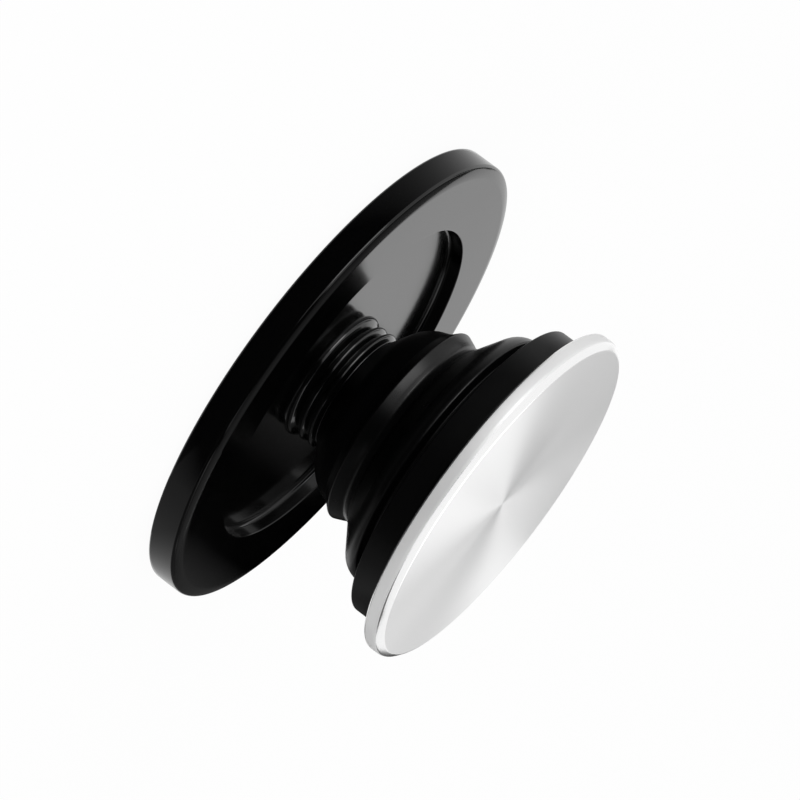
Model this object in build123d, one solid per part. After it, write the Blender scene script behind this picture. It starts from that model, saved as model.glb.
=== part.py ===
"""Collapsible phone grip: a black dish, a folding neck and a turned aluminium cap, in millimetres.

The origin is the centre of the sticky underside, with +Z towards the cap. The grip stands fully
drawn out. Radii grow outwards from the neck and heights add up from the underside, so each size
below can be changed by itself.
"""

import os

from build123d import *

# Clearance around every moulded lip that sits in a hole or a pocket
FIT = 0.05

# Sticky pad under the dish
PAD_PROUD = 0.5
PAD_POCKET_DEPTH = 0.5
PAD_EDGE_GAP = 0.2
PAD_POCKET_INSET = 2.9

# Dish that carries the neck
LEDGE_THICKNESS = 0.58
RECESS_DEPTH = 1.55
RECESS_GAP = 1.64
RIM_WIDTH = 7.96
RECESS_CORNER = 0.15
FRONT_EDGE = 0.45

# Foot of the neck, buttoned through the dish like a grommet
FOOT_THROAT_RADIUS = 5.9
FOOT_FLANGE_WIDTH = 3.2
FOOT_FLANGE_THICKNESS = 0.8
FOOT_WALL = 1.2
FOOT_PLUG_HEIGHT = 0.5

# Finely pleated stretch of the neck
NECK_LIP = 0.5
NECK_WALL = 0.5
FOOT_BEAD_WIDTH = 1.02
FOOT_BEAD_RISE = 0.89
PLEAT_DEPTH = 0.72
PLEAT_RISE = 0.6
PLEAT_COUNT = 2

# Folding stages: thin webs between stiff rings
WEB_WALL = 0.6
RING_WALL = 1.0
LOWER_WEB_BEND_STEP = 3.65
LOWER_WEB_BEND_RISE = 2.53
LOWER_WEB_STEP = 0.8
LOWER_WEB_RISE = 2.2
LOWER_LIP_STEP = 0.9
LOWER_LIP_RISE = 0.97
LOWER_RING_TAPER = 0.42
LOWER_RING_HEIGHT = 1.0
GROOVE_DEPTH = 0.13
GROOVE_RISE = 0.53
UPPER_WEB_FOOT_STEP = 0.3
UPPER_WEB_FOOT_RISE = 0.8
UPPER_WEB_STEP = 3.9
UPPER_WEB_RISE = 3.1
SHOULDER_BREAK = 0.8
UPPER_RING_HEIGHT = 1.1
TOP_FOLD_RISE = 0.45

# Head of the neck, buttoned through the platform's ledge
HEAD_STEP = 0.8
HEAD_THROAT_RISE = 2.55
HEAD_WALL = 0.9
HEAD_LEDGE_THICKNESS = 0.8
HEAD_FLANGE_WIDTH = 1.6
HEAD_FLANGE_THICKNESS = 0.8

# Platform under the cap
SKIRT_GAP = 1.0
SKIRT_WALL = 1.36
SKIRT_DEPTH = 1.5
PLATFORM_TOP_EDGE = 0.25

# Adhesive film and turned cap
FILM_THICKNESS = 0.3
FILM_INSET = 0.7
CAP_OVERHANG = 2.24
CAP_WALL_HEIGHT = 1.57
CAP_CHAMFER_WIDTH = 0.8
CAP_CHAMFER_HEIGHT = 0.66

# Room left under the skirt when the grip is pushed flat
COLLAPSED_GAP = 0.52

# Heights of the dish
back_z = PAD_PROUD
pocket_z = back_z + PAD_POCKET_DEPTH
ledge_z = pocket_z + FOOT_FLANGE_THICKNESS
floor_z = ledge_z + LEDGE_THICKNESS
face_z = floor_z + RECESS_DEPTH

# Heights of the folds
neck_top_z = floor_z + FOOT_BEAD_RISE + 2 * PLEAT_COUNT * PLEAT_RISE
lower_bend_z = neck_top_z + LOWER_WEB_BEND_RISE
lower_lip_z = lower_bend_z + LOWER_WEB_RISE
lower_ring_z = lower_lip_z + LOWER_LIP_RISE
lower_ring_top_z = lower_ring_z + LOWER_RING_HEIGHT
groove_z = lower_ring_top_z + GROOVE_RISE
upper_web_z = groove_z + UPPER_WEB_FOOT_RISE
upper_ring_z = upper_web_z + UPPER_WEB_RISE
upper_ring_top_z = upper_ring_z + UPPER_RING_HEIGHT
top_fold_z = upper_ring_top_z + TOP_FOLD_RISE

# Heights of the platform and the cap
head_ledge_z = top_fold_z + HEAD_THROAT_RISE
head_pocket_z = head_ledge_z + HEAD_LEDGE_THICKNESS
platform_top_z = head_pocket_z + HEAD_FLANGE_THICKNESS
skirt_z = head_ledge_z - SKIRT_DEPTH
cap_z = platform_top_z + FILM_THICKNESS
cap_wall_top_z = cap_z + CAP_WALL_HEIGHT
cap_top_z = cap_wall_top_z + CAP_CHAMFER_HEIGHT

# Radii of the folds
neck_r = FOOT_THROAT_RADIUS + NECK_LIP
foot_flange_r = FOOT_THROAT_RADIUS + FOOT_FLANGE_WIDTH
foot_bore_r = FOOT_THROAT_RADIUS - FOOT_WALL
neck_bore_r = neck_r - NECK_WALL
lower_bend_r = neck_r + LOWER_WEB_BEND_STEP
lower_lip_r = lower_bend_r + LOWER_WEB_STEP
lower_ring_r = lower_lip_r + LOWER_LIP_STEP
lower_ring_top_r = lower_ring_r - LOWER_RING_TAPER
groove_r = lower_ring_top_r - GROOVE_DEPTH
lower_ring_bore_r = groove_r - WEB_WALL
upper_web_r = groove_r + UPPER_WEB_FOOT_STEP
upper_ring_r = upper_web_r + UPPER_WEB_STEP
upper_ring_bore_r = upper_ring_r - RING_WALL
head_throat_r = upper_ring_r - HEAD_STEP
head_bore_r = head_throat_r - HEAD_WALL
head_flange_r = head_throat_r + HEAD_FLANGE_WIDTH

# Radii of the dish, the platform and the cap
skirt_inner_r = upper_ring_r + SKIRT_GAP
skirt_r = skirt_inner_r + SKIRT_WALL
recess_r = skirt_r + RECESS_GAP
dish_r = recess_r + RIM_WIDTH
pad_pocket_r = dish_r - PAD_POCKET_INSET
cap_r = skirt_r + CAP_OVERHANG


def turned(*outline):
    """Turn a closed outline of (radius, height, edge break) about the Z axis."""
    corners = [(radius, height) for radius, height, edge_break in outline]
    section = make_face(Polyline(*corners, close=True))
    for radius, height, edge_break in outline:
        if edge_break:
            corner = section.vertices().sort_by_distance((radius, height))[0]
            section = chamfer(corner, edge_break)
    return revolve(Plane.XZ * section, Axis.Z)


def dish():
    """The wide moulded base, with a recess in front, a pad pocket behind and a ledge for the foot."""
    throat_r = FOOT_THROAT_RADIUS + FIT
    counterbore_r = foot_flange_r + FIT
    return turned(
        (throat_r, floor_z, 0),
        (recess_r, floor_z, RECESS_CORNER),
        (recess_r, face_z, 0),
        (dish_r, face_z, FRONT_EDGE),
        (dish_r, back_z, 0),
        (pad_pocket_r, back_z, 0),
        (pad_pocket_r, pocket_z, 0),
        (counterbore_r, pocket_z, 0),
        (counterbore_r, ledge_z, 0),
        (throat_r, ledge_z, 0),
    )


def pad():
    """The sticky gel disc, set in the pocket and proud of the dish."""
    return Cylinder(pad_pocket_r - PAD_EDGE_GAP, pocket_z, align=(Align.CENTER, Align.CENTER, Align.MIN))


def pleats():
    """The outside of the neck's fine pleats, as valleys and crests from the foot bead up."""
    first_z = floor_z + FOOT_BEAD_RISE
    outline = [(neck_r, first_z, 0)]
    for count in range(PLEAT_COUNT):
        valley_z = first_z + 2 * count * PLEAT_RISE
        outline.append((neck_r + PLEAT_DEPTH, valley_z + PLEAT_RISE, 0))
        outline.append((neck_r, valley_z + 2 * PLEAT_RISE, 0))
    return outline


def web_inside(start, end, radius):
    """The point at a radius on the inner face of the web that runs from start to end."""
    along = Vector(*end) - Vector(*start)
    outer_z = start[1] + (radius - start[0]) * along.Y / along.X
    return (radius, outer_z + WEB_WALL * along.length / along.X, 0)


def bellows():
    """The one-piece folding neck: foot flange, pleated neck, two webs and rings, and head flange."""
    neck_top = (neck_r, neck_top_z)
    lower_bend = (lower_bend_r, lower_bend_z)
    lower_lip = (lower_lip_r, lower_lip_z)
    upper_web = (upper_web_r, upper_web_z)
    upper_ring = (upper_ring_r, upper_ring_z)
    inner_bend_r = lower_bend_r - WEB_WALL
    return turned(
        # Foot flange, under the dish's ledge
        (foot_bore_r, pocket_z, 0),
        (foot_flange_r, pocket_z, 0),
        (foot_flange_r, ledge_z, 0),
        (FOOT_THROAT_RADIUS, ledge_z, 0),
        (FOOT_THROAT_RADIUS, floor_z, 0),
        # Outside, from the recess floor to the platform's ledge
        (neck_r + FOOT_BEAD_WIDTH, floor_z, 0),
        *pleats(),
        (*lower_bend, 0),
        (*lower_lip, 0),
        (lower_ring_r, lower_ring_z, 0),
        (lower_ring_top_r, lower_ring_top_z, 0),
        (groove_r, groove_z, 0),
        (*upper_web, 0),
        (*upper_ring, SHOULDER_BREAK),
        (upper_ring_r, upper_ring_top_z, 0),
        (head_throat_r, top_fold_z, 0),
        # Head flange, on the platform's ledge
        (head_throat_r, head_pocket_z, 0),
        (head_flange_r, head_pocket_z, 0),
        (head_flange_r, platform_top_z, 0),
        # Inside, back down to the foot
        (head_bore_r, platform_top_z, 0),
        (head_bore_r, top_fold_z, 0),
        (upper_ring_bore_r, upper_ring_top_z, 0),
        web_inside(upper_web, upper_ring, upper_ring_bore_r),
        web_inside(upper_web, upper_ring, lower_ring_bore_r),
        web_inside(lower_bend, lower_lip, lower_ring_bore_r),
        web_inside(neck_top, lower_bend, inner_bend_r),
        web_inside(neck_top, lower_bend, neck_bore_r),
        (neck_bore_r, floor_z + FOOT_PLUG_HEIGHT, 0),
        (foot_bore_r, floor_z + FOOT_PLUG_HEIGHT, 0),
    )


def platform():
    """The moulded ring under the cap: a skirt that hides the folds and a ledge for the head."""
    throat_r = head_throat_r + FIT
    pocket_r = head_flange_r + FIT
    return turned(
        (throat_r, head_ledge_z, 0),
        (skirt_inner_r, head_ledge_z, 0),
        (skirt_inner_r, skirt_z, 0),
        (skirt_r, skirt_z, 0),
        (skirt_r, platform_top_z, PLATFORM_TOP_EDGE),
        (pocket_r, platform_top_z, 0),
        (pocket_r, head_pocket_z, 0),
        (throat_r, head_pocket_z, 0),
    )


def film():
    """The double-sided film that bonds the cap down, set in from the skirt."""
    disc = Cylinder(skirt_r - FILM_INSET, FILM_THICKNESS, align=(Align.CENTER, Align.CENTER, Align.MIN))
    return Pos(0, 0, platform_top_z) * disc


def cap():
    """The turned aluminium disc, with a plain wall and a bright chamfer."""
    return turned(
        (0, cap_z, 0),
        (cap_r, cap_z, 0),
        (cap_r, cap_wall_top_z, 0),
        (cap_r - CAP_CHAMFER_WIDTH, cap_top_z, 0),
        (0, cap_top_z, 0),
    )


pieces = {
    "base_dish": dish(),
    "adhesive_pad": pad(),
    "bellows": bellows(),
    "top_platform": platform(),
    "cap_film": film(),
    "cap_disc": cap(),
}

os.makedirs("parts", exist_ok=True)
for name, solid in pieces.items():
    export_step(solid, f"parts/{name}.step")

print(f"dish {2 * dish_r:.2f} mm across, cap {2 * cap_r:.2f} mm, {cap_top_z:.2f} mm tall")
print(f"travel {skirt_z - floor_z - COLLAPSED_GAP:.2f} mm from drawn out to flat")
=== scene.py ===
# %% [markdown]
# A collapsible phone grip
#
# The real grip is a wide black base that sticks to a phone, a folding black neck and a turned
# aluminium cap. The solids already exist at their real size. This lesson gives them their looks:
# each visible piece is modelled again with soft moulded edges, and each surface gets its finish.

# %% Load the frame
import bmesh
import bpy
from math import pi, radians
from mathutils import Matrix, Vector


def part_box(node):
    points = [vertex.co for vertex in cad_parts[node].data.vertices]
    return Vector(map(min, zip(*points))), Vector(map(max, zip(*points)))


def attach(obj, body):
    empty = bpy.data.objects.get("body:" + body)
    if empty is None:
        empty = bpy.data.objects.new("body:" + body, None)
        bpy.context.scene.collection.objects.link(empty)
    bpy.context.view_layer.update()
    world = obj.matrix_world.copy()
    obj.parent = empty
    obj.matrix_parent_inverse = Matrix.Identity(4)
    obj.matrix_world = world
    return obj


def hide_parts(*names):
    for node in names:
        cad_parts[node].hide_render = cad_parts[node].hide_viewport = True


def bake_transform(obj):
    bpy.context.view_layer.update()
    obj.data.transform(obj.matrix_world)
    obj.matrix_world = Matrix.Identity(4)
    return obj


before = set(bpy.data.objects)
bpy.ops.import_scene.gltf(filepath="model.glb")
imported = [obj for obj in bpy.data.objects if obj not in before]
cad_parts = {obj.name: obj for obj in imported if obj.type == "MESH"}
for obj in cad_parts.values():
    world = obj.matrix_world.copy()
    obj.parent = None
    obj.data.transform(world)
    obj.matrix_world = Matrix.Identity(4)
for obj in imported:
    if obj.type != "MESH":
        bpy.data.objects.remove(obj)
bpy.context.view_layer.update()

# %% [markdown]
# Everything below is written in millimetres, as on a drawing, and turned into metres by MM.
# The outer sizes could be typed in again, but here they are read from the solids, so that the looks
# can't drift away from them. The inner ones, such as the recess, repeat the sizes of the solids.

# %% Sizes read from the solids
MM = 0.001
SEGMENTS = 256


def outer_size(node):
    """The radius and the lowest and highest level of a round solid, in millimetres."""
    low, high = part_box(node)
    return high.x / MM, low.z / MM, high.z / MM


dish_r, back_z, face_z = outer_size("base_dish")
pad_r, pad_low_z, pad_top_z = outer_size("adhesive_pad")
skirt_r, skirt_z, platform_top_z = outer_size("top_platform")
cap_r, cap_z, cap_top_z = outer_size("cap_disc")
print(f"dish radius {dish_r:.2f}, cap radius {cap_r:.2f}, cap top {cap_top_z:.2f} mm")

# %% [markdown]
# Modelling by script works like modelling by hand: add a primitive, go into edit mode, select some
# faces or edges, and run a tool on them. Only the selecting differs, because a script can't click.
# These helpers select by place: a flat face by its level, and a ring of edges by its radius and level.

# %% Selecting by place
NEAR = 0.02


def deselect():
    """Leave nothing selected in the scene."""
    bpy.ops.object.select_all(action="DESELECT")


def edit(piece):
    """Go into edit mode on one piece, with nothing selected."""
    deselect()
    bpy.context.view_layer.objects.active = piece
    piece.select_set(True)
    bpy.ops.object.mode_set(mode="EDIT")
    bpy.ops.mesh.select_all(action="DESELECT")


def select_face(piece, level, facing):
    """Select the widest flat face at a level, facing up (1) or down (-1)."""
    bpy.ops.mesh.select_all(action="DESELECT")
    bpy.ops.mesh.select_mode(type="FACE")
    shape = bmesh.from_edit_mesh(piece.data)
    flat = [
        face for face in shape.faces
        if abs(face.calc_center_median().z / MM - level) < NEAR and face.normal.z * facing > 0.9
    ]
    max(flat, key=lambda face: len(face.verts)).select_set(True)
    bmesh.update_edit_mesh(piece.data)


def select_ring(piece, radius, level):
    """Select the ring of edges at a radius and a level, in millimetres."""
    bpy.ops.mesh.select_all(action="DESELECT")
    bpy.ops.mesh.select_mode(type="EDGE")
    shape = bmesh.from_edit_mesh(piece.data)
    for edge in shape.edges:
        edge.select_set(all(
            abs(end.co.xy.length / MM - radius) < NEAR and abs(end.co.z / MM - level) < NEAR
            for end in edge.verts
        ))
    shape.select_flush_mode()
    bmesh.update_edit_mesh(piece.data)


def select_open_edges(piece):
    """Select the edges that have a face on one side only."""
    bpy.ops.mesh.select_mode(type="EDGE")
    shape = bmesh.from_edit_mesh(piece.data)
    for edge in shape.edges:
        edge.select_set(edge.is_boundary)
    bmesh.update_edit_mesh(piece.data)


print("selecting within", NEAR, "mm")

# %% [markdown]
# Every piece of the grip is round, so each could be one profile turned on a lathe. A drum that is
# inset, pushed and rounded shows better how the form comes about, and each step can be changed alone.
# These are the tools for it.

# %% Shaping tools
def add_drum(name, radius, low, high):
    """Add a closed cylinder between two levels, and go into edit mode on it."""
    deselect()
    bpy.ops.mesh.primitive_cylinder_add(
        vertices=SEGMENTS, radius=radius * MM, depth=(high - low) * MM,
        location=(0, 0, (low + high) / 2 * MM), end_fill_type="NGON",
    )
    piece = bpy.context.object
    piece.name = name
    bpy.ops.object.transform_apply(location=True)
    edit(piece)
    return piece


def inset(width):
    """Draw a smaller face inside the selected one."""
    bpy.ops.mesh.inset(thickness=width * MM, depth=0)


def push(rise):
    """Extrude the selected face up or down."""
    bpy.ops.mesh.extrude_region_move(TRANSFORM_OT_translate={"value": (0, 0, rise * MM)})


def lower_ring(piece, radius, level, drop):
    """Move a ring of edges down, so that the face inside it gets a sloping border."""
    select_ring(piece, radius, level)
    bpy.ops.transform.translate(value=(0, 0, -drop * MM))


def open_hole(piece, low, high):
    """Join the two round faces at the ends of a hole: delete both and bridge their rims."""
    for level, facing in ((high, 1), (low, -1)):
        select_face(piece, level, facing)
        bpy.ops.mesh.delete(type="ONLY_FACE")
    select_open_edges(piece)
    bpy.ops.mesh.bridge_edge_loops()


def round_ring(piece, radius, level, width, segments):
    """Round a ring of edges over with a bevel."""
    select_ring(piece, radius, level)
    bpy.ops.mesh.bevel(offset=width * MM, offset_type="OFFSET", segments=segments, affect="EDGES")


print("rounds have", SEGMENTS, "segments")

# %% [markdown]
# A finished piece has its faces pointing outwards and its place in its mesh. Smooth shading alone
# would make the flat faces look swollen beside their roundings. Weighted normals let the large flat
# faces decide, as a real flat face with a small rounded edge does.

# %% Finishing a piece
def finish_piece(piece, smooth_angle=40):
    """Shade the piece smooth, with its flat faces kept flat up to their rounded edges."""
    bpy.ops.mesh.select_all(action="SELECT")
    bpy.ops.mesh.normals_make_consistent(inside=False)
    bpy.ops.object.mode_set(mode="OBJECT")
    bpy.ops.object.transform_apply(location=True, rotation=True, scale=True)
    bpy.ops.object.shade_smooth_by_angle(angle=radians(smooth_angle))
    bpy.ops.object.modifier_add(type="WEIGHTED_NORMAL")
    bpy.context.object.modifiers[-1].keep_sharp = True
    bpy.ops.object.modifier_apply(modifier=bpy.context.object.modifiers[-1].name)
    faces = len(piece.data.polygons)
    print(f"{piece.name}: {faces} faces, height {piece.dimensions.z / MM:.2f} mm")


print("pieces are shaded smooth below 40 degrees")

# %% [markdown]
# The dish
#
# On the real grip this is one moulding in black plastic, with a wide, slightly crowned rim. The crown
# could be a plain round bevel, but on the real rim it is wider than it is high. So the face is inset
# and its outer ring lowered. The rounding takes a hair from the outline, so the face starts that
# much higher.

# %% Dish blank with a crowned rim
FACE_LIFT = 0.1
CROWN_WIDTH = 0.96
CROWN_DROP = 0.33

front_z = face_z + FACE_LIFT
crown_r = dish_r - CROWN_WIDTH
dish = add_drum("dish", dish_r, back_z, front_z)
select_face(dish, front_z, 1)
inset(CROWN_WIDTH)
lower_ring(dish, dish_r, front_z, CROWN_DROP)
print(f"dish face at {front_z:.2f} mm, crown from radius {crown_r:.2f} mm")

# %% [markdown]
# The dish has a shallow recess in front for the folded neck, a pocket behind for the sticky pad, and
# a stepped hole for the neck's foot. They could be cut with booleans, but insetting and pushing a face
# keeps clean rings of edges, which the roundings need.

# %% Hollow the dish
RECESS_R = 19.4
FLOOR_Z = 2.38
POCKET_R = 24.46
POCKET_Z = 1.0
COUNTERBORE_R = 9.15
LEDGE_Z = 1.8
THROAT_R = 5.95

select_face(dish, front_z, 1)
inset(crown_r - RECESS_R)
push(FLOOR_Z - front_z)
inset(RECESS_R - THROAT_R)
select_face(dish, back_z, -1)
inset(dish_r - POCKET_R)
push(POCKET_Z - back_z)
inset(POCKET_R - COUNTERBORE_R)
push(LEDGE_Z - POCKET_Z)
inset(COUNTERBORE_R - THROAT_R)
open_hole(dish, LEDGE_Z, FLOOR_Z)
print(f"recess {front_z - FLOOR_Z:.2f} mm deep, pocket {POCKET_Z - back_z:.2f} mm deep")

# %% [markdown]
# Moulded edges are never sharp, and the roundings are what catches the light: a soft one where the
# crown begins, a tighter one where it meets the wall, and a wide one at the foot of the recess wall.
# A bevel on one ring of edges at a time keeps each rounding at its own size.

# %% Round the dish
CROWN_ROUNDING = 0.5
RIM_ROUNDING = 0.3
RECESS_EDGE = 0.15
RECESS_CORNER = 0.5
BACK_ROUNDING = 0.25

round_ring(dish, crown_r, front_z, CROWN_ROUNDING, 6)
round_ring(dish, dish_r, front_z - CROWN_DROP, RIM_ROUNDING, 8)
round_ring(dish, RECESS_R, front_z, RECESS_EDGE, 4)
round_ring(dish, RECESS_R, FLOOR_Z, RECESS_CORNER, 8)
round_ring(dish, dish_r, back_z, BACK_ROUNDING, 4)
finish_piece(dish)
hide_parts("base_dish")
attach(dish, "base")

# %% [markdown]
# The folding neck
#
# The neck is one moulding in a rubbery plastic: a foot that buttons through the dish, a finely
# pleated tube, two thin flaring webs, each ending in a stiffer ring, and a head that buttons
# through the platform. Here its section is written down as a list of rings, each with a radius,
# a level and a rounding. The lower half of the outside comes first, from the foot to the first ring.

# %% Lower half of the neck's outside
FOOT_FLANGE_R = 9.1
FOOT_THROAT_R = 5.9
BEAD_R = 7.42
BEAD_Z = 2.7
NECK_R = 6.4
PLEAT_R = 7.42
PLEAT_RISE = 0.6
VALLEY_ROUNDING = 0.08
CREST_ROUNDING = 0.65
FIRST_VALLEY_Z = 3.27
NECK_TOP_Z = 5.67
WEB_BEND = (10.05, 8.2)
LOWER_LIP = (10.85, 10.4)
LOWER_RING = (11.75, 11.37)
LOWER_RING_TOP = (11.33, 12.37)

pleats = []
for count in range(2):
    valley = FIRST_VALLEY_Z + 2 * count * PLEAT_RISE
    pleats.append((NECK_R, valley, VALLEY_ROUNDING))
    pleats.append((PLEAT_R, valley + PLEAT_RISE, CREST_ROUNDING))

lower_outside = [
    (FOOT_FLANGE_R, POCKET_Z, 0),
    (FOOT_FLANGE_R, LEDGE_Z, 0),
    (FOOT_THROAT_R, LEDGE_Z, 0),
    (FOOT_THROAT_R, FLOOR_Z, 0),
    (BEAD_R, FLOOR_Z, 0),
    (BEAD_R, BEAD_Z, 0.3),
    *pleats,
    (NECK_R, NECK_TOP_Z, 0.25),
    (*WEB_BEND, 1.2),
    (*LOWER_LIP, 0.4),
    (*LOWER_RING, 0.16),
    (*LOWER_RING_TOP, 0.1),
]
print(f"{len(pleats) // 2} pleats, lower ring of radius {LOWER_RING[0]:.2f} mm")

# %% [markdown]
# Above the first ring the section goes on through a groove, the upper web and its ring to the head.
# Then it turns and comes back down inside, because the real neck is a thin wall. Solidify could give
# the wall its thickness, but the rings are thicker than the webs, so the inside is drawn too.

# %% Upper half and inside
GROOVE = (11.05, 12.9)
UPPER_WEB = (11.3, 13.75)
UPPER_RING_R = 15.3
UPPER_RING_LOW_Z = 16.6
UPPER_RING_TOP_Z = 17.9
TOP_FOLD_Z = 18.35
HEAD_THROAT_R = 14.6
HEAD_LEDGE_Z = 20.9
HEAD_POCKET_Z = 21.7
HEAD_FLANGE_R = 16.2
HEAD_BORE_R = 13.7
UPPER_BORE_R = 14.4
UPPER_BORE_LOW_Z = 16.77
LOWER_BORE_R = 10.6
LOWER_BORE_TOP_Z = 13.75
LOWER_BORE_LOW_Z = 11.47
WEB_BORE = (9.45, 8.51)
NECK_BORE_R = 5.9
NECK_BORE_TOP_Z = 6.05
FOOT_BORE_R = 4.7
PLUG_TOP_Z = 2.88

upper_outside = [
    (*GROOVE, 0.2),
    (*UPPER_WEB, 0.3),
    (UPPER_RING_R, UPPER_RING_LOW_Z, 1.0),
    (UPPER_RING_R, UPPER_RING_TOP_Z, 0.15),
    (HEAD_THROAT_R, TOP_FOLD_Z, 0.1),
    (HEAD_THROAT_R, HEAD_POCKET_Z, 0),
    (HEAD_FLANGE_R, HEAD_POCKET_Z, 0),
    (HEAD_FLANGE_R, platform_top_z, 0),
]
inside = [
    (HEAD_BORE_R, platform_top_z, 0),
    (HEAD_BORE_R, TOP_FOLD_Z, 0),
    (UPPER_BORE_R, UPPER_RING_TOP_Z, 0),
    (UPPER_BORE_R, UPPER_BORE_LOW_Z, 0),
    (LOWER_BORE_R, LOWER_BORE_TOP_Z, 0),
    (LOWER_BORE_R, LOWER_BORE_LOW_Z, 0),
    (*WEB_BORE, 0),
    (NECK_BORE_R, NECK_BORE_TOP_Z, 0),
    (NECK_BORE_R, PLUG_TOP_Z, 0),
    (FOOT_BORE_R, PLUG_TOP_Z, 0),
    (FOOT_BORE_R, POCKET_Z, 0),
]
rings = lower_outside + upper_outside + inside
print(len(rings), "rings in the neck's section")

# %% [markdown]
# By hand, a form like this is a circle that is extruded and scaled again and again, up the outside and
# back down the inside, and then bridged to where it began. Screw or spin could turn a drawn section
# instead, but they leave a seam. The folds are rounded last, ring by ring.

# %% Draw the neck
deselect()
bpy.ops.mesh.primitive_circle_add(
    vertices=SEGMENTS, radius=rings[0][0] * MM, location=(0, 0, rings[0][1] * MM), fill_type="NOTHING",
)
neck = bpy.context.object
neck.name = "folding_neck"
bpy.ops.object.transform_apply(location=True)
edit(neck)
bpy.ops.mesh.select_all(action="SELECT")
for (radius, level, _), (next_radius, next_level, _) in zip(rings, rings[1:]):
    bpy.ops.mesh.extrude_edges_move(TRANSFORM_OT_translate={"value": (0, 0, (next_level - level) * MM)})
    grow = next_radius / radius
    bpy.ops.transform.resize(value=(grow, grow, 1), center_override=(0, 0, next_level * MM))
select_open_edges(neck)
bpy.ops.mesh.bridge_edge_loops()
for radius, level, rounding in rings:
    if rounding:
        round_ring(neck, radius, level, rounding, 6)
finish_piece(neck, smooth_angle=50)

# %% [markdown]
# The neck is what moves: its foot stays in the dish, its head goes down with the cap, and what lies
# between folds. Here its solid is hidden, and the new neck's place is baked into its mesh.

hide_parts("bellows")
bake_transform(neck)

# %% [markdown]
# The platform
#
# Under the metal cap sits a moulded ring. Its skirt hides the folds when the grip is pushed flat,
# and a ledge inside it carries the neck's head. It could be a tube with an added ledge, but like the
# dish it is made from a drum, so that it stays one closed piece.

# %% Model the platform
SKIRT_INNER_R = 16.4
HEAD_POCKET_R = 16.25
LEDGE_HOLE_R = 14.65
SKIRT_EDGE = 0.16
TOP_EDGE = 0.3

platform = add_drum("platform", skirt_r, skirt_z, platform_top_z)
select_face(platform, skirt_z, -1)
inset(skirt_r - SKIRT_INNER_R)
push(HEAD_LEDGE_Z - skirt_z)
inset(SKIRT_INNER_R - LEDGE_HOLE_R)
select_face(platform, platform_top_z, 1)
inset(skirt_r - HEAD_POCKET_R)
push(HEAD_POCKET_Z - platform_top_z)
inset(HEAD_POCKET_R - LEDGE_HOLE_R)
open_hole(platform, HEAD_LEDGE_Z, HEAD_POCKET_Z)
round_ring(platform, skirt_r, skirt_z, SKIRT_EDGE, 4)
round_ring(platform, SKIRT_INNER_R, skirt_z, SKIRT_EDGE, 3)
round_ring(platform, skirt_r, platform_top_z, TOP_EDGE, 5)
finish_piece(platform)
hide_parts("top_platform")
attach(platform, "cap")

# %% [markdown]
# The cap
#
# The cap is turned from aluminium: a flat face, a bright chamfer cut in a last pass, and a plain
# wall. The chamfer is wider than it is high, so it isn't a bevel: the face is inset and the ring
# around it is lowered. Then each edge gets the small rounding that a real edge has.

# %% Model the cap
CHAMFER_WIDTH = 0.8
CHAMFER_HEIGHT = 0.66
FACE_EDGE = 0.12
WALL_EDGE = 0.3
UNDER_EDGE = 0.45

cap = add_drum("cap", cap_r, cap_z, cap_top_z)
select_face(cap, cap_top_z, 1)
inset(CHAMFER_WIDTH)
lower_ring(cap, cap_r, cap_top_z, CHAMFER_HEIGHT)
round_ring(cap, cap_r - CHAMFER_WIDTH, cap_top_z, FACE_EDGE, 3)
round_ring(cap, cap_r, cap_top_z - CHAMFER_HEIGHT, WALL_EDGE, 6)
round_ring(cap, cap_r, cap_z, UNDER_EDGE, 5)
finish_piece(cap, smooth_angle=25)
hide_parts("cap_disc")
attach(cap, "cap")

# %% [markdown]
# The sticky pad
#
# The pad is a disc of soft gel, cut with a knife, so its edge is nearly square. Only a thin band
# of it shows, under the dish. A drum with one small rounding is all that it needs.

# %% Model the pad
PAD_EDGE = 0.12

pad = add_drum("pad", pad_r, pad_low_z, pad_top_z)
round_ring(pad, pad_r, pad_low_z, PAD_EDGE, 4)
finish_piece(pad)
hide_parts("adhesive_pad")
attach(pad, "base")

# %% [markdown]
# Finishes
#
# Each finish is one Principled shader. What is the same all over is set on the shader itself, and
# only what varies, such as roughness and bump, comes from texture nodes. Painted pictures could do it
# too, but noise on object coordinates needs no unwrapping and is as fine as it has to be.

# %% Finish helpers
def new_finish(name, colour, roughness, **settings):
    """Make a material and return it with its node tree and its shader."""
    finish = bpy.data.materials.new(name)
    finish.use_nodes = True
    tree = finish.node_tree
    shader = tree.nodes["Principled BSDF"]
    shader.inputs["Base Color"].default_value = (*colour, 1)
    shader.inputs["Roughness"].default_value = roughness
    for socket, value in settings.items():
        shader.inputs[socket.replace("_", " ")].default_value = value
    return finish, tree, shader


def add_node(tree, kind, **values):
    """Add a node and set its input sockets by name."""
    node = tree.nodes.new(kind)
    for socket, value in values.items():
        node.inputs[socket.replace("_", " ")].default_value = value
    return node


def wear(piece, *finishes):
    """Put finishes in a piece's slots."""
    piece.data.materials.clear()
    for finish in finishes:
        piece.data.materials.append(finish)
    print(piece.name, "wears", [finish.name for finish in finishes])


print("finish helpers ready")

# %% [markdown]
# A moulded or blasted surface has a fine grain, and its shine is never quite even. Both could be
# modelled, but at a thousandth of a millimetre they are better left to the shader: the grain is a
# bump, and the shine a roughness that wanders between two values.

# %% Grain and uneven shine
NOISE_LOW = 0.3
NOISE_HIGH = 0.7


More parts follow.
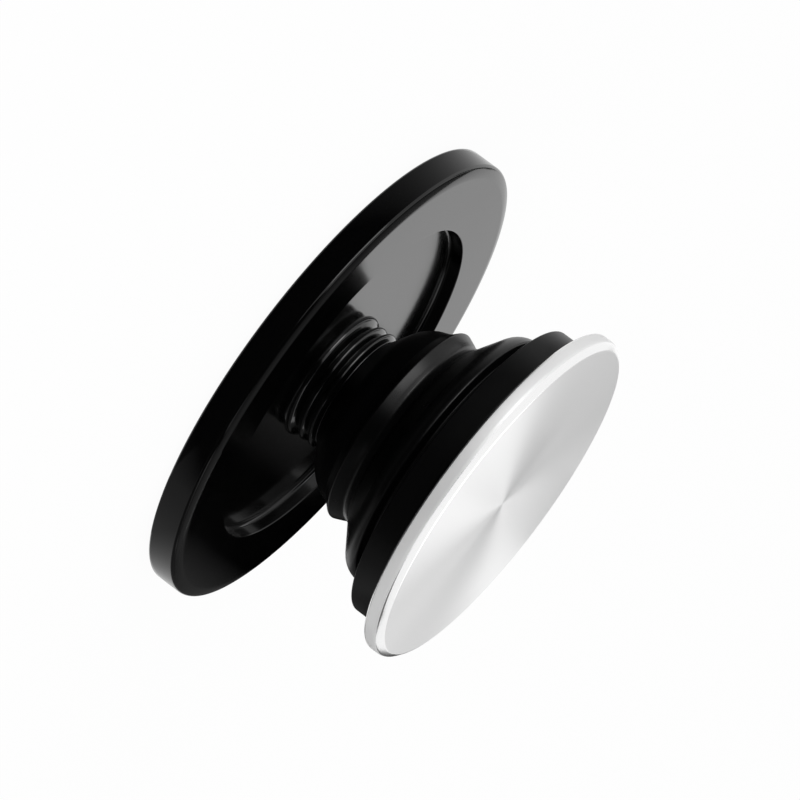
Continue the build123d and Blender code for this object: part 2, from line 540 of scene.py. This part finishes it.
def add_grain(tree, shader, size, height):
    """Give the surface a fine grain: bumps of a size and height in millimetres."""
    place = tree.nodes.new("ShaderNodeTexCoord")
    noise = add_node(tree, "ShaderNodeTexNoise", Scale=1 / (size * MM), Detail=3, Roughness=0.55)
    bump = add_node(tree, "ShaderNodeBump", Strength=1.0, Distance=height * MM)
    tree.links.new(place.outputs["Object"], noise.inputs["Vector"])
    tree.links.new(noise.outputs["Fac"], bump.inputs["Height"])
    tree.links.new(bump.outputs["Normal"], shader.inputs["Normal"])
    return place


def vary_roughness(tree, shader, place, size, low, high):
    """Let the roughness wander between two values, in patches of a size in millimetres."""
    noise = add_node(tree, "ShaderNodeTexNoise", Scale=1 / (size * MM), Detail=4, Roughness=0.6)
    reach = add_node(
        tree, "ShaderNodeMapRange", From_Min=NOISE_LOW, From_Max=NOISE_HIGH, To_Min=low, To_Max=high,
    )
    tree.links.new(place.outputs["Object"], noise.inputs["Vector"])
    tree.links.new(noise.outputs["Fac"], reach.inputs["Value"])
    tree.links.new(reach.outputs["Result"], shader.inputs["Roughness"])


print("shine follows the noise from", NOISE_LOW, "to", NOISE_HIGH)

# %% [markdown]
# The dish is smooth moulded plastic: black all through, with a shine that is only slightly broken
# by the mould's polish. A low index of refraction keeps the face-on reflections deep black, and
# still lets the front face turn grey where it is seen at a low angle.

# %% Dish finish
moulded_black, tree, shader = new_finish("moulded_black", (0.0012, 0.0012, 0.0013), 0.12, IOR=1.37)
place = add_grain(tree, shader, size=0.25, height=0.0003)
vary_roughness(tree, shader, place, size=9, low=0.1, high=0.15)
wear(dish, moulded_black)

# %% [markdown]
# The neck is a rubbery plastic with a satin skin, so its highlights are broad and soft. The pleats
# are polished by folding and draw thin bright lines, and the web above them, which lies in the
# dish's shade, is matt. One finish could serve for all, but it would miss these lines. The faces are
# told apart by their level.

# %% Neck finishes
RUBBER_BLACK = (0.001, 0.001, 0.0011)

satin_rubber, tree, shader = new_finish("satin_rubber", RUBBER_BLACK, 0.3, IOR=1.33)
place = add_grain(tree, shader, size=0.3, height=0.0012)
vary_roughness(tree, shader, place, size=5, low=0.27, high=0.33)
shiny_rubber, tree, shader = new_finish("shiny_rubber", RUBBER_BLACK, 0.15, IOR=1.5)
place = add_grain(tree, shader, size=0.3, height=0.0006)
vary_roughness(tree, shader, place, size=3, low=0.12, high=0.17)
matt_rubber, tree, shader = new_finish("matt_rubber", RUBBER_BLACK, 0.4, IOR=1.15)
place = add_grain(tree, shader, size=0.3, height=0.0012)
vary_roughness(tree, shader, place, size=3, low=0.36, high=0.44)
wear(neck, satin_rubber, shiny_rubber, matt_rubber)
for face in neck.data.polygons:
    level = face.center.z / MM
    if FLOOR_Z < level < NECK_TOP_Z:
        face.material_index = 1
    elif NECK_TOP_Z <= level < LOWER_LIP[1]:
        face.material_index = 2

# %% [markdown]
# The platform is the same black plastic as the dish. Its mould was left duller, so it gets a rougher
# finish of its own, which keeps the skirt dark beside the bright cap.

# %% Platform finish
dull_black, tree, shader = new_finish("dull_black", (0.0012, 0.0012, 0.0013), 0.34, IOR=1.22)
place = add_grain(tree, shader, size=0.25, height=0.001)
vary_roughness(tree, shader, place, size=6, low=0.3, high=0.38)
wear(platform, dull_black)

# %% [markdown]
# A lathe leaves fine rings on the face. Each ring is a tiny groove, so light spreads across the
# grooves and not along them, and bright rays appear that turn with the light. The rays could be
# painted, but then they would stand still. The shader's anisotropy makes them from the light, with
# a tangent that runs round the axis. The rings themselves are bump on the distance from the axis.

# %% Turned face
RING_PITCH = 0.16


def radius_from_axis(tree):
    """Nodes that give each point's distance from the grip's axis."""
    place = tree.nodes.new("ShaderNodeTexCoord")
    flatten = tree.nodes.new("ShaderNodeVectorMath")
    flatten.operation = "MULTIPLY"
    flatten.inputs[1].default_value = (1, 1, 0)
    radius = tree.nodes.new("ShaderNodeVectorMath")
    radius.operation = "LENGTH"
    tree.links.new(place.outputs["Object"], flatten.inputs[0])
    tree.links.new(flatten.outputs["Vector"], radius.inputs[0])
    return radius.outputs["Value"]


def turn_grain(tree, shader):
    """Let the shine spread across the rings that turning leaves."""
    tangent = tree.nodes.new("ShaderNodeTangent")
    tangent.direction_type = "RADIAL"
    tangent.axis = "Z"
    tree.links.new(tangent.outputs["Tangent"], shader.inputs["Tangent"])


turned_face, tree, shader = new_finish(
    "turned_face", (0.75, 0.75, 0.75), 0.4, Metallic=1.0, Anisotropic=0.85, Anisotropic_Rotation=0.25,
)
turn_grain(tree, shader)
rings_noise = add_node(tree, "ShaderNodeTexNoise", Scale=1 / (RING_PITCH * MM), Detail=2, Roughness=0.6)
rings_noise.noise_dimensions = "1D"
bump = add_node(tree, "ShaderNodeBump", Strength=1.0, Distance=0.0012 * MM)
tree.links.new(radius_from_axis(tree), rings_noise.inputs["W"])
tree.links.new(rings_noise.outputs["Fac"], bump.inputs["Height"])
tree.links.new(bump.outputs["Normal"], shader.inputs["Normal"])
print(f"turned rings every {RING_PITCH} mm")

# %% [markdown]
# The chamfer is cut with a diamond tool and shines like a mirror. The wall below it is blasted: it
# scatters most of the light and is only half a metal mirror. The rounding between them still belongs
# to the wall, and the underside is turned bright like the chamfer. The faces are told apart by how
# far they look up or down.

# %% Chamfer and wall
FLAT_UP = 0.98
CHAMFER_UP = 0.55
UNDER_DOWN = -0.25

bright_chamfer, tree, shader = new_finish("bright_chamfer", (0.9, 0.9, 0.9), 0.2, Metallic=1.0)
place = add_grain(tree, shader, size=0.4, height=0.0006)
vary_roughness(tree, shader, place, size=3, low=0.17, high=0.23)
cap_wall, tree, shader = new_finish(
    "cap_wall", (0.84, 0.84, 0.84), 0.55, Metallic=0.5, Anisotropic=0.5, Anisotropic_Rotation=0.25,
)
turn_grain(tree, shader)
place = add_grain(tree, shader, size=0.2, height=0.001)
vary_roughness(tree, shader, place, size=4, low=0.5, high=0.6)
wear(cap, cap_wall, bright_chamfer, turned_face)
for face in cap.data.polygons:
    if face.normal.z > FLAT_UP:
        face.material_index = 2
    elif face.normal.z > CHAMFER_UP or face.normal.z < UNDER_DOWN:
        face.material_index = 1

# %% [markdown]
# The pad is a dark gel, dull and a little uneven. The film between platform and cap is a thin black
# foam that hardly shows, so its solid is kept as it is and only gets a finish.

# %% Pad and film
gel, tree, shader = new_finish("dark_gel", (0.03, 0.03, 0.034), 0.5)
place = add_grain(tree, shader, size=0.5, height=0.006)
vary_roughness(tree, shader, place, size=3, low=0.42, high=0.6)
wear(pad, gel)
foam, tree, shader = new_finish("black_foam", (0.012, 0.012, 0.012), 0.8)
place = add_grain(tree, shader, size=0.15, height=0.01)
vary_roughness(tree, shader, place, size=2, low=0.7, high=0.9)
wear(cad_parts["cap_film"], foam)

# %% [markdown]
# Camera
#
# The photograph looks at the grip from a low angle through a long lens, with the picture turned so
# that the base is on the left and the cap on the right. The grip could be tipped over instead, but
# the light would turn with it. So the camera stands level first, aimed at the grip from about
# 14 degrees up, and is then rolled about its own axis.

# %% Camera
VIEW_ELEVATION = radians(14.25)
PICTURE_TURN = radians(-126.84)
CAMERA_DISTANCE = 800
LENS = 348.3
AIM_RIGHT = 8.49
AIM_UP = -3.635

turn = Matrix.Rotation(pi / 2 - VIEW_ELEVATION, 3, "X") @ Matrix.Rotation(-PICTURE_TURN, 3, "Z")
aim = Vector((0, 0, back_z)) + turn.col[0] * AIM_RIGHT + turn.col[1] * AIM_UP
deselect()
bpy.ops.object.camera_add(location=(aim + turn.col[2] * CAMERA_DISTANCE) * MM, rotation=turn.to_euler())
camera = bpy.context.object
camera.data.lens = LENS
camera.data.sensor_width = 36
camera.data.clip_start = 0.05
camera.data.clip_end = 20
bpy.context.scene.camera = camera
print("camera at", [round(x, 3) for x in camera.location])

# %% [markdown]
# The stage
#
# The photograph's background is plain white. Enough light would make any floor white, but it would
# bleach the grip too. So the floor shows nearly white to the camera and in reflections by itself, and
# the small rest of it still takes the soft shadow. It lies a hair below the pad, because two faces in
# one plane flicker.

# %% Floor
FLOOR_GLOW = 0.96
FLOOR_GAP = 0.02
FLOOR_SIZE = 6000


def seen_directly(tree):
    """A value that is 1 for camera, glossy and transmission rays."""
    path = tree.nodes.new("ShaderNodeLightPath")
    first = tree.nodes.new("ShaderNodeMath")
    first.operation = "MAXIMUM"
    both = tree.nodes.new("ShaderNodeMath")
    both.operation = "MAXIMUM"
    tree.links.new(path.outputs["Is Camera Ray"], first.inputs[0])
    tree.links.new(path.outputs["Is Glossy Ray"], first.inputs[1])
    tree.links.new(first.outputs["Value"], both.inputs[0])
    tree.links.new(path.outputs["Is Transmission Ray"], both.inputs[1])
    return both.outputs["Value"]


deselect()
bpy.ops.mesh.primitive_plane_add(size=FLOOR_SIZE * MM, location=(0, 0, -FLOOR_GAP * MM))
floor = bpy.context.object
floor.name = "floor"
bpy.ops.object.transform_apply(location=True)
pale_floor, tree, shader = new_finish("pale_floor", (0.92, 0.92, 0.92), 1.0, Specular_IOR_Level=0.0)
glow = add_node(tree, "ShaderNodeEmission", Strength=1.0)
share = tree.nodes.new("ShaderNodeMath")
share.operation = "MULTIPLY"
share.inputs[1].default_value = FLOOR_GLOW
mix = tree.nodes.new("ShaderNodeMixShader")
tree.links.new(seen_directly(tree), share.inputs[0])
tree.links.new(share.outputs["Value"], mix.inputs["Fac"])
tree.links.new(shader.outputs["BSDF"], mix.inputs[1])
tree.links.new(glow.outputs["Emission"], mix.inputs[2])
tree.links.new(mix.outputs["Shader"], tree.nodes["Material Output"].inputs["Surface"])
wear(floor, pale_floor)

# %% [markdown]
# The world is white where it is seen and in reflections, for the same reason, and gives a plain
# soft light otherwise. A picture of a studio could be used for it, but a plain white can be shaped
# with cards, as in a real studio.

# %% World
WORLD_LIGHT = 0.6

world = bpy.data.worlds.new("white_studio")
bpy.context.scene.world = world
world.use_nodes = True
tree = world.node_tree
background = tree.nodes["Background"]
background.inputs["Color"].default_value = (1, 1, 1, 1)
strength = add_node(tree, "ShaderNodeMapRange", To_Min=WORLD_LIGHT, To_Max=1.0)
tree.links.new(seen_directly(tree), strength.inputs["Value"])
tree.links.new(strength.outputs["Result"], background.inputs["Strength"])
print("world gives", WORLD_LIGHT)

# %% [markdown]
# Cards
#
# Black gloss shows only what it reflects, so a studio shapes it with cards. Each card here is a plane
# with its own even grey, which the lamps don't change. It is seen in reflections only: the camera
# doesn't see it, and it throws no shadow.

# %% Card helpers
def card_colour(name, grey):
    """A flat grey that doesn't depend on the lamps."""
    colour = bpy.data.materials.new(name)
    colour.use_nodes = True
    tree = colour.node_tree
    glow = add_node(tree, "ShaderNodeEmission", Strength=grey)
    tree.links.new(glow.outputs["Emission"], tree.nodes["Material Output"].inputs["Surface"])
    return colour


def set_up_card(card, name, colour):
    """Name and colour a card, leave it in the reflections only, and keep it out of the grip."""
    card.name = name
    bpy.ops.object.transform_apply(location=True, rotation=True, scale=True)
    card.visible_camera = False
    card.visible_shadow = False
    card.visible_diffuse = False
    wear(card, colour)


def add_card(name, low, high, colour):
    """Put up a flat card between two opposite corners, in millimetres: lying, facing Y or facing X."""
    deselect()
    size = Vector(high) - Vector(low)
    if size.z == 0:
        turn, reach = (0, 0, 0), (size.x, size.y)
    elif size.y == 0:
        turn, reach = (pi / 2, 0, 0), (size.x, size.z)
    else:
        turn, reach = (pi / 2, 0, pi / 2), (size.y, size.z)
    bpy.ops.mesh.primitive_plane_add(size=1, location=(Vector(low) + size / 2) * MM, rotation=turn)
    bpy.context.object.scale = (reach[0] * MM, reach[1] * MM, 1)
    set_up_card(bpy.context.object, name, colour)


black = card_colour("card_black", 0.0)
dark = card_colour("card_dark", 0.1)
print("plain cards: black and dark")

# %% [markdown]
# A card that ends in the middle of a reflection leaves a hard line on the gloss. A photographer tilts
# it or lets it run out of the light. Here the grey itself runs along one axis from one place to
# another, which gives the same soft end.

# %% Fading cards
def fading_colour(name, axis, start, end):
    """A grey that runs along an axis, from a (place, grey) to another, in millimetres."""
    colour = card_colour(name, 0.0)
    tree = colour.node_tree
    place = tree.nodes.new("ShaderNodeTexCoord")
    split = tree.nodes.new("ShaderNodeSeparateXYZ")
    fade = add_node(
        tree, "ShaderNodeMapRange",
        From_Min=start[0] * MM, From_Max=end[0] * MM, To_Min=start[1], To_Max=end[1],
    )
    tree.links.new(place.outputs["Object"], split.inputs["Vector"])
    tree.links.new(split.outputs[axis], fade.inputs["Value"])
    tree.links.new(fade.outputs["Result"], tree.nodes["Emission"].inputs["Strength"])
    return colour


print("fading cards ready")

# %% [markdown]
# What stands behind the grip decides how its flat faces look. A white card on the left lights half of
# the dish. A card that fades to black darkens the other half, with a faint glow beside the neck and
# at the dish's end. A grey card above them gives the metal face its darker rays.

# %% Cards behind
fading = fading_colour("card_fading", "X", (-7, 0.15), (13, 0.0))
rising = fading_colour("card_rising", "X", (22.5, 0.0), (28, 0.09))
add_card("card_white", (-90, 60, 6), (-7, 60, 36), card_colour("card_white", 1.05))
add_card("card_behind", (-7, 35, 1), (22, 35, 30), fading)
add_card("card_behind_low", (22, 35, 1), (90, 35, 30), rising)
add_card("card_behind_foot", (-7, 34.8, 1), (22, 34.8, 8.5), black)
add_card("card_metal", (-32, 36, 28.5), (2, 36, 62), card_colour("card_grey", 0.68))

# %% [markdown]
# In front and to the right, black and dark cards keep the rounded sides of the black pieces deep
# black. On the left, two narrow ones darken the far wall of the recess, and nothing else there.

# %% Cards in front and beside
add_card("card_front", (-60, -350, 0), (350, -350, 520), black)
add_card("card_side", (350, -350, 0), (350, 330, 340), dark)
add_card("card_left_near", (-40, 2, 13.5), (-40, 22, 16.8), black)
add_card("card_left_far", (-40, 22, 13.5), (-40, 52, 21), black)

# %% [markdown]
# The crowned rim looks up, so it mirrors what hangs above it. A flag in the shape of a crescent hangs
# low over the near rim: it is dark, fades with its distance from the axis, and leaves one soft line
# along the crown. Flags further up could do the same, but the cap comes down to them when the grip is
# folded. This one stays below it. First comes its shade.

# %% Shade for the rim
FADE_FROM_R = 22.7
FADE_TO_R = 27.75

rim_shade = card_colour("card_rim_shade", 1.0)
tree = rim_shade.node_tree
ramp = tree.nodes.new("ShaderNodeValToRGB")
marks = ramp.color_ramp.elements
marks.new(0.25)
marks.new(0.7)
for mark, grey in zip(marks, (0.0, 0.15, 0.15, 0.03)):
    mark.color = (grey, grey, grey, 1)
reach = add_node(tree, "ShaderNodeMapRange", From_Min=FADE_FROM_R * MM, From_Max=FADE_TO_R * MM)
tree.links.new(radius_from_axis(tree), reach.inputs["Value"])
tree.links.new(reach.outputs["Result"], ramp.inputs["Fac"])
tree.links.new(ramp.outputs["Color"], tree.nodes["Emission"].inputs["Color"])
print(f"rim shade runs from radius {FADE_FROM_R} to {FADE_TO_R} mm")

# %% [markdown]
# The crescent is a disc with a round hole that is larger than the disc and set back, so that only a
# thin sickle is left in front. It could be drawn point by point, but this way both its edges are true
# circles, and its ends run out to points, which leave no hard end in the reflection.

# %% Crescent over the rim
CARD_SEGMENTS = 96
RIM_FLAG_Z = 5.8
RIM_FLAG_R = 27.75
RIM_FLAG_INNER_R = 29.5
RIM_FLAG_SHIFT = 7.5
RIM_FLAG_END_Y = -3


def start_round_card(radius, level):
    """Add a lying disc, and go into edit mode with all of it selected."""
    deselect()
    bpy.ops.mesh.primitive_circle_add(
        vertices=CARD_SEGMENTS, radius=radius * MM, fill_type="NGON", location=(0, 0, level * MM),
    )
    card = bpy.context.object
    edit(card)
    bpy.ops.mesh.select_all(action="SELECT")
    return card


rim_flag = start_round_card(RIM_FLAG_R, RIM_FLAG_Z)
inset(RIM_FLAG_R / 2)
grow = RIM_FLAG_INNER_R / (RIM_FLAG_R / 2)
bpy.ops.transform.resize(value=(grow, grow, 1))
bpy.ops.transform.translate(value=(0, RIM_FLAG_SHIFT * MM, 0))
bpy.ops.mesh.delete(type="FACE")
bpy.ops.mesh.select_mode(type="FACE")
shape = bmesh.from_edit_mesh(rim_flag.data)
for face in shape.faces:
    face.select_set(face.calc_center_median().y > RIM_FLAG_END_Y * MM)
bmesh.update_edit_mesh(rim_flag.data)
bpy.ops.mesh.delete(type="FACE")
bpy.ops.object.mode_set(mode="OBJECT")
set_up_card(rim_flag, "card_flag_rim", rim_shade)

# %% [markdown]
# Further out, three lying flags keep the line on the crown from spreading to the wall. They are away
# from the cap, also when it is down, so they can hang higher and be plain.

# %% Flags further out
FLAG_Z = 9

add_card("card_flag_front", (-9, -44, FLAG_Z), (14, -28, FLAG_Z), black)
add_card("card_flag_right", (14, -44, FLAG_Z), (46, -24.2, FLAG_Z), black)
add_card("card_flag_end", (29.2, -24, FLAG_Z), (46, 2, FLAG_Z), dark)

# %% [markdown]
# The upright walls of the dish and the cap mirror the table in front of them. A ring on the table,
# black in front and pale behind, gives the walls their run from black to grey. It could be a large
# plate, but with a hole in the middle it stays clear of the pad. Two lying cards on the right lift
# that side a little.

# %% Cards on the table
RING_OUTER_R = 200
RING_INNER_R = 28
RING_Z = 0.3

table_ring = start_round_card(RING_OUTER_R, RING_Z)
inset(RING_OUTER_R - RING_INNER_R)
bpy.ops.mesh.delete(type="FACE")
bpy.ops.object.mode_set(mode="OBJECT")
set_up_card(table_ring, "card_ring", fading_colour("card_ring", "Y", (-26, 0.0), (6, 0.85)))
sill = fading_colour("card_sill", "Y", (-27, 0.0), (-21, 0.36))
add_card("card_sill", (18, -27, 0.4), (38, -13, 0.4), sill)
add_card("card_right", (38, -40, 0.6), (150, 110, 0.6), card_colour("card_middle", 0.5))

# %% [markdown]
# Lamps
#
# Three soft boxes light the grip: one behind and above for the bright ray on the turned face, one at
# the left front for the lines on rim, pleats and rings, and one at the right front that only fills
# the blasted wall of the cap. Spots or a sun would light it too, but their reflections on black gloss
# are small and hard.

# %% Lamps
LAMP_AIM_Z = 12


def add_lamp(name, width, height, power, place):
    """Add a soft box that points at the grip, in millimetres and watts."""
    deselect()
    direction = Vector((0, 0, LAMP_AIM_Z)) - Vector(place)
    bpy.ops.object.light_add(
        type="AREA", location=[x * MM for x in place],
        rotation=direction.to_track_quat("-Z", "Y").to_euler(),
    )
    lamp = bpy.context.object
    lamp.name = name
    lamp.data.shape = "RECTANGLE"
    lamp.data.size = width * MM
    lamp.data.size_y = height * MM
    lamp.data.energy = power
    print(f"{name}: {power} W")
    return lamp


add_lamp("box_above", 380, 600, 0.75, (20, 500, 720))
add_lamp("box_left", 360, 200, 0.9, (-414, -347, 200))
fill = add_lamp("box_right", 300, 300, 1.0, (420, -240, 60))
fill.visible_glossy = False
bpy.context.scene.view_settings.view_transform = "Standard"
